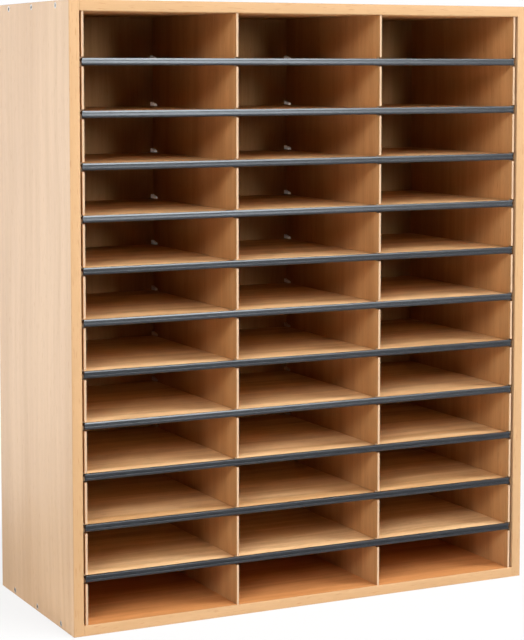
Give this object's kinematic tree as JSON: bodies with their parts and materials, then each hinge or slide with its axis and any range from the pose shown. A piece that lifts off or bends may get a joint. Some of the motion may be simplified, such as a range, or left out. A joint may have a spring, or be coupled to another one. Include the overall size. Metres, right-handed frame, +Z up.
{
  "type": "literature organizer",
  "caption": "Free-standing literature organizer: a laminated board cabinet with slotted hardboard dividers, pull-out shelves and a label strip along each shelf, for sorting papers.",
  "frame": {"origin": "middle of the underside, on the surface that the cabinet stands on", "axes": "+Z up, -Y out of the open front, +X to the right as seen from the front"},
  "size_m": [0.736, 0.304, 0.876],
  "materials": {
    "oak_laminate": "pale oak print laminate, satin, fine upright grain",
    "oak_edging": "pale oak edging, satin, grain along the edge",
    "hardboard": "oak-printed thin hardboard, satin",
    "back_board": "thin brown hardboard, matte",
    "black_plastic": "extruded charcoal plastic with a soft sheen",
    "zinc_steel": "bright zinc-plated steel",
    "clip_plastic": "pale moulded plastic"
  },
  "bodies": {
    "cabinet": {"side_panel_left": "oak_laminate", "side_panel_right": "oak_laminate", "top_panel": "oak_laminate", "bottom_panel": "oak_laminate", "back_panel": "back_board", "edge_band_left": "oak_edging", "edge_band_right": "oak_edging", "edge_band_top": "oak_edging", "edge_band_bottom": "oak_edging", "side_liner_left": "hardboard", "side_liner_right": "hardboard", "divider_left": "hardboard", "divider_right": "hardboard", "cabinet_screws_left": "zinc_steel", "cabinet_screws_right": "zinc_steel", "back_nails": "zinc_steel", "divider_clips_left": "clip_plastic", "divider_clips_right": "clip_plastic"},
    "shelf_unit_01": {"shelf_01": "hardboard", "label_strip_01": "black_plastic"},
    "shelf_unit_02": {"shelf_02": "hardboard", "label_strip_02": "black_plastic"},
    "shelf_unit_03": {"shelf_03": "hardboard", "label_strip_03": "black_plastic"},
    "shelf_unit_04": {"shelf_04": "hardboard", "label_strip_04": "black_plastic"},
    "shelf_unit_05": {"shelf_05": "hardboard", "label_strip_05": "black_plastic"},
    "shelf_unit_06": {"shelf_06": "hardboard", "label_strip_06": "black_plastic"},
    "shelf_unit_07": {"shelf_07": "hardboard", "label_strip_07": "black_plastic"},
    "shelf_unit_08": {"shelf_08": "hardboard", "label_strip_08": "black_plastic"},
    "shelf_unit_09": {"shelf_09": "hardboard", "label_strip_09": "black_plastic"},
    "shelf_unit_10": {"shelf_10": "hardboard", "label_strip_10": "black_plastic"},
    "shelf_unit_11": {"shelf_11": "hardboard", "label_strip_11": "black_plastic"}
  },
  "joints": [
    {"name": "shelf_01_slide", "type": "slide", "parent": "cabinet", "child": "shelf_unit_01", "axis": [0, -1, 0], "range_m": [0, 0.302]},
    {"name": "shelf_02_slide", "type": "slide", "parent": "cabinet", "child": "shelf_unit_02", "axis": [0, -1, 0], "range_m": [0, 0.302]},
    {"name": "shelf_03_slide", "type": "slide", "parent": "cabinet", "child": "shelf_unit_03", "axis": [0, -1, 0], "range_m": [0, 0.302]},
    {"name": "shelf_04_slide", "type": "slide", "parent": "cabinet", "child": "shelf_unit_04", "axis": [0, -1, 0], "range_m": [0, 0.302]},
    {"name": "shelf_05_slide", "type": "slide", "parent": "cabinet", "child": "shelf_unit_05", "axis": [0, -1, 0], "range_m": [0, 0.302]},
    {"name": "shelf_06_slide", "type": "slide", "parent": "cabinet", "child": "shelf_unit_06", "axis": [0, -1, 0], "range_m": [0, 0.302]},
    {"name": "shelf_07_slide", "type": "slide", "parent": "cabinet", "child": "shelf_unit_07", "axis": [0, -1, 0], "range_m": [0, 0.302]},
    {"name": "shelf_08_slide", "type": "slide", "parent": "cabinet", "child": "shelf_unit_08", "axis": [0, -1, 0], "range_m": [0, 0.302]},
    {"name": "shelf_09_slide", "type": "slide", "parent": "cabinet", "child": "shelf_unit_09", "axis": [0, -1, 0], "range_m": [0, 0.302]},
    {"name": "shelf_10_slide", "type": "slide", "parent": "cabinet", "child": "shelf_unit_10", "axis": [0, -1, 0], "range_m": [0, 0.302]},
    {"name": "shelf_11_slide", "type": "slide", "parent": "cabinet", "child": "shelf_unit_11", "axis": [0, -1, 0], "range_m": [0, 0.302]}
  ]
}
